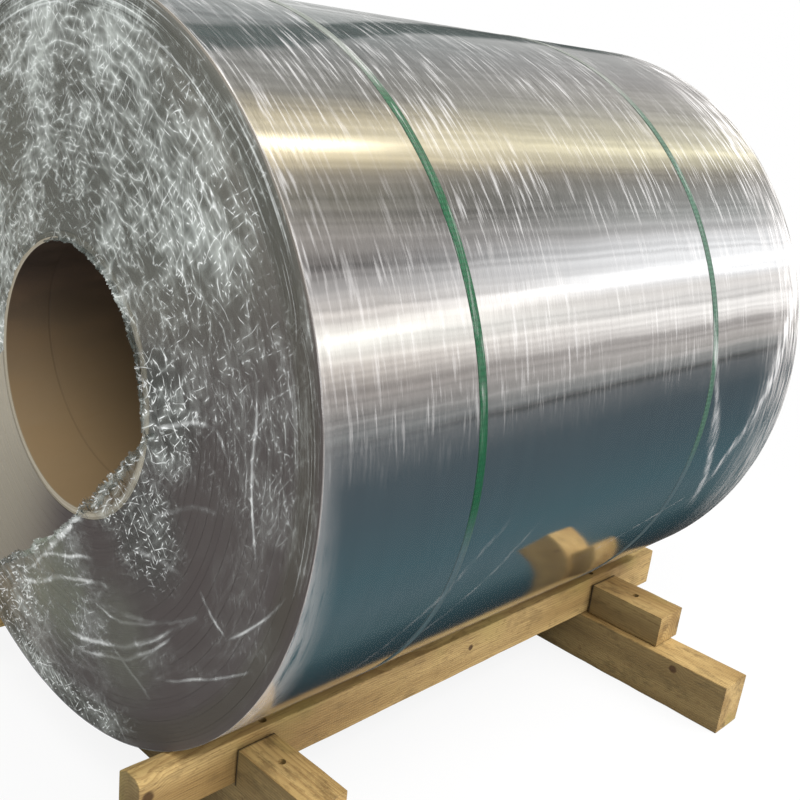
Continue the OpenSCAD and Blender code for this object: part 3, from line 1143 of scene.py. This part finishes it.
# %% Material of the film on the ends
def film_on_end():
    """Crumpled clear film: short glints along the pull, busy above and where it is gathered."""
    material, place = new_material("film_on_end")
    across, radius, along, upward = about_axis(place)
    side, up = along * radius, upward * radius
    pushed = warped(point(side, up, 0.0), 8, 0.03)
    on_face = smooth(radius, coil_r - 0.004, coil_r - 0.002, 1.0, 0.0)
    on_left = smooth(across, 0, 0.1, 1.0, 0.0)
    past = side * -math.cos(EDGE_SLANT) - up * math.sin(EDGE_SLANT) - TORN_AWAY
    gathered = gathered_film(side, up, radius, past, on_left)
    front = smooth(side, -0.24, -0.36) * smooth(up, -0.20, 0.08)
    veil = milky_film(side, up, front)
    green = green_film(side, up, past, on_left)
    rim = smooth(radius, coil_r * 0.90, coil_r * 0.95) * smooth(up, -0.3, 0.0)

    # Ridges that follow the pull and others that cross them, in lighter and darker bundles, which are the
    # painted light and shade of the crumples.
    pull = point(radius * 46, along * 8, upward * 8)
    round_it = ridges(pull)
    crossing = strongest([strokes(pushed, 38, 0.022, 0.085), strokes(pushed, -52, 0.019, 0.065)])
    bundle = blotches(stretched(pull, (0.13, 0.4, 0.4)), 1.0, 1.0)
    rim_lines = blotches(point(radius * 260, along * 3, upward * 3), 1.0, 1.0, 0.6)
    painted_crumple_shading = round_it * 0.24 + crossing * 0.18 + bundle * 1.2 + (rim_lines - 0.5) * rim * 1.2
    painted_crumple_shading = smooth(painted_crumple_shading, 0.80, 1.60)

    # The bright marks are painted highlights on the creases, each strong where the film is busy, gathered
    # or folded.
    glint = smooth(strongest([round_it, crossing]), 1.45, 2.15) * smooth(bundle, 0.3, 0.55, 0.4, 1.0)
    busy = veil * 0.9 + front * 0.85 + green * 0.6 + smooth(bundle, 0.5, 0.7, 0.06, 0.30)
    line = smooth(rim_lines, 0.56, 0.72) * rim
    sparkle = smooth(strongest([strokes(pushed, 70, 0.024, 0.09), crossing]), 1.36, 2.05)
    folds = smooth(strokes(pushed, -12, 0.012, 0.16), 1.35, 2.0) * 0.45 * smooth(bundle, 0.40, 0.62)
    long_marks = strongest([bowed_crease(pushed, *crease) for crease in long_creases])
    folds = folds + long_marks * on_left * smooth(bundle + round_it * 0.15, 0.45, 0.90, 0.2, 0.75)
    marks = glint * busy * (1 - rim * 0.6) + line * 0.5 + sparkle * gathered * 1.3 + folds
    marks = (marks * on_face).math("MINIMUM", 1.0)

    # How much of the end the film veils, and its colour, with painted light and shade in the bundles and
    # painted highlights in the marks.
    haze = smooth(bundle, 0.35, 0.7, 0.0, 0.06) + veil * 0.80 + green * 0.38 + gathered * 0.46
    alpha = ((haze + marks * 0.6) * on_face * outer_side(place)).math("MINIMUM", 0.95)
    colour = mix(painted_crumple_shading, tint(70, 76, 72), tint(204, 211, 207))
    colour = mix(green * (1 - painted_crumple_shading), colour, tint(134, 142, 124))
    colour = mix(marks, colour, tint(250, 252, 252))
    return finish_material(material, {"Base Color": colour, "Alpha": alpha, "Roughness": 0.26})


end_finish = film_on_end()
for film in (film_left, film_right, hem_torn, hem_bore):
    place_film(film, end_finish)

# %% [markdown]
# ## The cradle
# Eight sawn timbers make the cradle: two cross beams on the floor, two bearers across them that hold
# the coil on the slope of their inner top edge, and four stop blocks that keep the bearers from being
# pushed apart. Sawn timber is never a clean box. Its edges are worn round, its faces cup and wander by
# a millimetre, and the front bearer's left end still shows the round of the log, called wane. So each
# begins as a cube at its node's place, gets its slopes with Bisect and its worn edges with Bevel, and
# is then cut into short lengths and pushed in, never out, by a Displace modifier.

# %% Sizes of the cradle
BEVEL_DROP = 0.014
SPIKE_HOLE_R = 0.0085
HOLE_DEPTH = 0.06
UNEVEN = 0.0032
UNEVEN_WAVE = 0.09
STRIPS = 5
seat_r = axis_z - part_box("cross_beam_left")[1].z
bearer_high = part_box("bearer_back")[1]
seat_cos = (axis_z - bearer_high.z + BEVEL_DROP / 2) / seat_r
seat_sin = math.sqrt(1 - seat_cos ** 2)
seat_turn = math.degrees(math.acos(seat_cos))
print(f"the coil lies on the bearers {seat_turn:.1f} degrees to each side of its lowest line")


# %% Helper: places of the spikes
def spike_places(node):
    """Middle and top of each spike in a node, read from the corners of its mesh."""
    corners = [vertex.co.copy() for vertex in frame["nodes"][node].data.vertices]
    places = []
    for side_x in (-1, 1):
        for side_y in (-1, 1):
            near = [co for co in corners if co.x * side_x > 0 and co.y * side_y > 0]
            middle_x = (min(co.x for co in near) + max(co.x for co in near)) / 2
            middle_y = (min(co.y for co in near) + max(co.y for co in near)) / 2
            places.append(Vector((middle_x, middle_y, max(co.z for co in near))))
    return places


spikes = spike_places("stop_spikes") + spike_places("bearer_spikes")
print(len(spikes), "spikes")


# %% One sawn timber
def slice_up(low, high, axis_number, count):
    """Cuts the open mesh into this many equal slices along one axis."""
    normal = Vector([float(number == axis_number) for number in range(3)])
    for share in range(1, count):
        bisect(low + (high - low) * share / count, normal)


def saw_timber(node, long_axis, worn, lengths, cuts=()):
    """A timber in the place of a node: cube, slopes, worn edges, short lengths and uneven faces."""
    low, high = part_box(node)
    timber = start("sawn_" + node, bpy.ops.mesh.primitive_cube_add, size=1, location=(low + high) / 2,
                   scale=high - low)
    for place, normal in cuts:
        bisect(place, normal, use_fill=True, clear_outer=True)
    bpy.ops.mesh.select_all(action="SELECT")
    bpy.ops.mesh.bevel(offset=worn, segments=3, profile=0.55, clamp_overlap=True)
    slice_up(low, high, long_axis, lengths)
    for short_axis in sorted({0, 1, 2} - {long_axis}):
        slice_up(low, high, short_axis, STRIPS)
    merge_and_face_out()
    uneven = bpy.data.textures.get("uneven") or bpy.data.textures.new("uneven", "CLOUDS")
    uneven.noise_scale = UNEVEN_WAVE
    apply_modifier(timber, "DISPLACE", texture=uneven, texture_coords="LOCAL", strength=UNEVEN,
                   mid_level=1.0)
    return timber


def drill(timber, node):
    """Cuts the sunk hole of each spike that stands in this timber."""
    low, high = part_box(node)
    for spike in spikes:
        if low.x < spike.x < high.x and low.y < spike.y < high.y and spike.z > low.z:
            hole = start("hole", bpy.ops.mesh.primitive_cylinder_add, vertices=20, radius=SPIKE_HOLE_R,
                         depth=HOLE_DEPTH, location=(spike.x, spike.y, spike.z + HOLE_DEPTH / 2))
            bpy.ops.object.mode_set(mode="OBJECT")
            bpy.context.view_layer.objects.active = timber
            apply_modifier(timber, "BOOLEAN", object=hole, operation="DIFFERENCE", solver="EXACT")
            bpy.data.objects.remove(hole)


# %% [markdown]
# Wood is drawn from the inside out: a log is a stack of rings about its pith, and a board is a box cut
# from it. So the rings are drawn about a line that lies off to one side of each timber, and every face
# shows the rings as that face would cut them: long flames on the sides, arcs on the ends. Each timber
# gets its own pith, and the long ones their own knots. Stain and moss come last, with painted shade on
# the left faces and in the joints.

# %% Rings, knots and grain
RING_W = 0.0062


def log_rings(place, long, first, second, pith, knots):
    """Late wood of the rings about the pith, which swell round the knots, and a mask of each knot."""
    slow = point(long * 1.4, first * 5, second * 5)
    bend = blotches(slow, 1.0, 2.0) * 0.05 - 0.025
    log_radius = length(first - pith[0] + bend, second - pith[1] + bend)
    knot_masks = []
    for knot_place, knot_radius in knots:
        away = place.vector_math("DISTANCE", {1: knot_place}, output="Value")
        wobble = blotches(place, 60, 2.0) * 0.006 - 0.003
        knot_masks.append(smooth(away + wobble, knot_radius * 0.55, knot_radius, 1.0, 0.0))
        halo = smooth(away, knot_radius * 0.8, knot_radius * 3.2, 1.0, 0.0)
        log_radius = log_radius + halo * knot_radius * 0.9
    rings = (log_radius / RING_W + blotches(slow, 3.0) * 0.8).math("FRACT")
    return smooth(rings, 0.35, 0.9) * smooth(rings, 0.9, 1.0, 1.0, 0.0), knot_masks


def weathered_and_shaded(wood, place, flecks, green):
    """The wood with painted shade on its left faces, dark flecks, dark worn edges, and moss in patches.
    """
    faces = place.node("NewGeometry", output="Normal")
    painted_shade_left = faces.vector_math("DOT_PRODUCT", {1: (-1, 0, 0)}, output="Value")
    # Painted shade: faces that turn to the left are darker.
    wood = mix(smooth(painted_shade_left, 0.5, 0.9, 0.0, 0.62), wood, tint(74, 66, 38))
    wood = mix(flecks, wood, tint(92, 64, 34))
    worn = smooth(place.node("NewGeometry", output="Pointiness"), 0.51, 0.58)
    wood = mix(worn * smooth(blotches(place, 30, 3.0), 0.4, 0.6, 0.1, 0.75), wood, tint(66, 46, 26))
    moss = smooth(blotches(stretched(place, (5, 5, 5), (3, 1, 2)), 1.0, 3.0), 0.5, 0.7)
    return mix(moss * green, wood, tint(172, 164, 88))


# %% Material of the timber
def sawn_pine(name, long_axis, pith, knots=(), stain=0.4, green=0.25, pale=0.5, joint=None):
    """Weathered sawn pine about a pith line, with knots as (place, radius), and painted shade in a joint.
    """
    material, place = new_material(name)
    axes = parts(place)
    long = axes[long_axis]
    first, second = [axes[number] for number in range(3) if number != long_axis]

    def grain(along, aside, detail=3.0, roughness=0.5):
        """Soft noise that is drawn out along the timber."""
        return blotches(point(long * along, first * aside, second * aside), 1.0, detail, roughness)

    late, knot_masks = log_rings(place, long, first, second, pith, knots)
    fibre = grain(9, 420, 2.0, 0.6)
    broad = grain(2.2, 14)
    wood = mix(pale * 0.5 + smooth(broad, 0.3, 0.7) * 0.6, tint(142, 110, 62), tint(208, 178, 120))
    wood = mix(late * 0.36, wood, tint(120, 82, 42))
    wood = mix(smooth(fibre, 0.52, 0.75) * 0.5, wood, tint(88, 64, 36))
    dirt = smooth(grain(11, 26, 4.0, 0.7), 0.50, 0.68)
    wood = mix(dirt * stain, wood, tint(84, 64, 38))
    flecks = smooth(grain(45, 110, 3.0, 0.6), 0.55, 0.66) * smooth(broad, 0.35, 0.6, 0.08, 0.34)
    wood = weathered_and_shaded(wood, place, flecks, green)
    if joint is not None:
        # Painted shade: a dark line in the joint, where the stop block meets its bearer.
        wood = mix(smooth(abs(axes[1] - joint), 0.003, 0.010, 0.92, 0.0), wood, tint(34, 26, 18))
    if knot_masks:
        wood = mix(strongest(knot_masks) * 0.85, wood, tint(70, 44, 22))
    saw = (long * 900 + blotches(place, 12) * 5).math("SINE")
    height = fibre * 0.5 + late * 0.25 + saw * 0.05 + dirt * 0.1
    sockets = {"Base Color": wood, "Roughness": smooth(broad, 0.3, 0.7, 0.62, 0.8)}
    return finish_material(material, sockets, height, depth=0.0012)


# %% [markdown]
# The bearers carry the coil on a slope that touches it along a line, so their slope is square to the
# radius there. The front bearer has its wane at the left end. The stop blocks stand against the
# bearers, with painted shade in the joint.

# %% The bearers
ALONG_COIL, ACROSS_COIL = 0, 1


def lay_bearer(node, cuts, pith, knots, stain=0.4):
    """A bearer: sawn with these cuts, drilled for its spikes, and finished."""
    bearer = saw_timber(node, ALONG_COIL, worn=0.0035, lengths=60, cuts=cuts)
    drill(bearer, node)
    place_piece(bearer, sawn_pine("pine_" + node, ALONG_COIL, pith, knots, stain), "timber", node)


def seat_cut(side):
    """The slope that the coil lies on."""
    normal = Vector((0, side * seat_sin, -seat_cos))
    return axis + normal * seat_r, -normal


front_low, front_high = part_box("bearer_front")
wane_corner = Vector((front_low.x, front_low.y, front_high.z - 0.011))
wane_normal = Vector((-0.035, -0.62, 0.78)).normalized()
front_knots = [(Vector((front_low.x + 0.02, front_low.y, front_high.z - 0.04)), 0.016),
               (Vector((0.05, front_low.y, front_low.z + 0.06)), 0.010)]
back_knots = [(Vector((-0.3, bearer_high.y, bearer_high.z - 0.03)), 0.014)]
wane_cut = (wane_corner, wane_normal)
lay_bearer("bearer_front", [seat_cut(-1), wane_cut], (-0.43, 0.10), front_knots, stain=0.3)
lay_bearer("bearer_back", [seat_cut(1)], (0.46, 0.27), back_knots)

# %% The cross beams and the stop blocks
beam_low, beam_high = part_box("cross_beam_right")
beam_piths = {"cross_beam_left": (-0.62, 0.02), "cross_beam_right": (0.50, 0.16)}
beam_knots = {"cross_beam_left": [(Vector((-0.62, -0.5, beam_high.z)), 0.015)],
              "cross_beam_right": [(Vector((beam_low.x, beam_low.y + 0.144, 0.109)), 0.013),
                                   (Vector((beam_low.x, -0.30, 0.05)), 0.012)]}
for node, pith in beam_piths.items():
    beam = saw_timber(node, ACROSS_COIL, worn=0.004, lengths=60)
    pine = sawn_pine("pine_" + node, ACROSS_COIL, pith, beam_knots[node], stain=0.5, green=0.5)
    place_piece(beam, pine, "timber", node)
stop_blocks = ("stop_front_left", "stop_front_right", "stop_back_left", "stop_back_right")
for number, node in enumerate(stop_blocks):
    block = saw_timber(node, ACROSS_COIL, worn=0.003, lengths=10)
    drill(block, node)
    low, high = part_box(node)
    pith = (low.x - 0.02 + 0.03 * number, low.z - 0.03)
    joint = low.y if low.y > 0 else high.y
    pine = sawn_pine("pine_" + node, ACROSS_COIL, pith, stain=0.5, green=0.2, pale=0.35, joint=joint)
    place_piece(block, pine, "timber", node)

# %% [markdown]
# The spikes stand deep in their holes, where only a rusty head shows. Their shape in the frame is
# right, so they keep it and only get a finish.

# %% The spikes
def rusty_steel():
    """Dark steel with rust in blotches."""
    material, place = new_material("rusty_steel")
    rust = smooth(blotches(place, 260, 3.0), 0.4, 0.6)
    sockets = {"Base Color": mix(rust, tint(38, 34, 32), tint(58, 34, 22)), "Metallic": 1 - rust,
               "Roughness": smooth(rust, 0, 1, 0.45, 0.85)}
    return finish_material(material, sockets, rust, depth=0.0003)


spike_finish = rusty_steel()
for node in ("stop_spikes", "bearer_spikes"):
    materials = frame["nodes"][node].data.materials
    materials.clear()
    materials.append(spike_finish)
